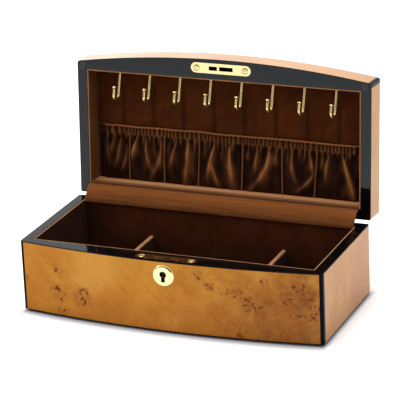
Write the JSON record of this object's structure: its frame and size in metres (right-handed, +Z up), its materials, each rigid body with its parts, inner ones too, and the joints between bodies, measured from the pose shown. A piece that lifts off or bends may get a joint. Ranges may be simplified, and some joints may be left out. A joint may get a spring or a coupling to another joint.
{
  "type": "jewelry box",
  "caption": "Veneered jewelry box with a bowed front, a hinged lid that opens upright, velvet compartments, necklace hooks, a gathered pocket and a mortised box lock.",
  "frame": {"origin": "bottom centre of the open box: midway in x and y between its outermost points, on the plane that the feet stand on", "axes": "+Z up, +X to the right as one faces the lock, +Y from the lock towards the hinges"},
  "size_m": [0.3, 0.185, 0.2158],
  "materials": {
    "black_lacquer": "high-gloss black lacquer on fibreboard walls",
    "burl_veneer": "figured burl veneer under clear high-gloss polyester",
    "velvet": "dark brown short-pile velvet",
    "brass": "polished pale brass plate",
    "steel": "plain zinc-plated pressed steel",
    "black_rubber": "satin black moulded rubber",
    "floor_board": "dark stained fibreboard"
  },
  "bodies": {
    "base": {"base_front_wall": "black_lacquer", "base_back_wall": "black_lacquer", "base_left_wall": "black_lacquer", "base_right_wall": "black_lacquer", "base_front_veneer": "burl_veneer", "base_back_veneer": "burl_veneer", "base_left_veneer": "burl_veneer", "base_right_veneer": "burl_veneer", "base_floor_panel": "floor_board", "base_floor_pad": "velvet", "base_wall_liner": "velvet", "divider_left": "velvet", "divider_right": "velvet", "foot_front_left": "black_rubber", "foot_front_right": "black_rubber", "foot_back_left": "black_rubber", "foot_back_right": "black_rubber", "lock_case": "steel", "lock_selvage": "brass", "lock_key_pin": "steel", "lock_escutcheon": "brass", "selvage_screw_1": "brass", "selvage_screw_2": "brass", "hinge_left_base_leaf": "brass", "hinge_right_base_leaf": "brass", "hinge_left_pin": "brass", "hinge_right_pin": "brass", "hinge_gusset": "velvet"},
    "lid": {"lid_front_wall": "black_lacquer", "lid_back_wall": "black_lacquer", "lid_left_wall": "black_lacquer", "lid_right_wall": "black_lacquer", "lid_front_veneer": "burl_veneer", "lid_back_veneer": "burl_veneer", "lid_left_veneer": "burl_veneer", "lid_right_veneer": "burl_veneer", "lid_top_panel": "black_lacquer", "lid_top_veneer": "burl_veneer", "lid_wall_liner": "velvet", "lid_panel_pad": "velvet", "necklace_pocket": "velvet", "strike_plate": "brass", "strike_screw_1": "brass", "strike_screw_2": "brass", "bumper_left": "black_rubber", "bumper_right": "black_rubber", "necklace_hook_1": "brass", "necklace_hook_2": "brass", "necklace_hook_3": "brass", "necklace_hook_4": "brass", "necklace_hook_5": "brass", "necklace_hook_6": "brass", "necklace_hook_7": "brass", "necklace_hook_8": "brass", "hinge_left_lid_leaf": "brass", "hinge_right_lid_leaf": "brass"},
    "bolt_carrier": {"lock_bolt_carrier": "steel"},
    "hook_bolt": {"lock_hook_bolt": "brass"}
  },
  "joints": [
    {"name": "lid_hinge", "type": "hinge", "parent": "base", "child": "lid", "pos_m": [0, 0.05432, 0.0705], "axis": [1, 0, 0], "range_deg": [0, 94], "deforming": ["hinge_gusset"]},
    {"name": "bolt_lift", "type": "slide", "parent": "base", "child": "bolt_carrier", "axis": [0, 0, 1], "range_m": [0, 0.0072]},
    {"name": "bolt_throw", "type": "slide", "parent": "bolt_carrier", "child": "hook_bolt", "axis": [1, 0, 0], "range_m": [0, 0.003]}
  ]
}
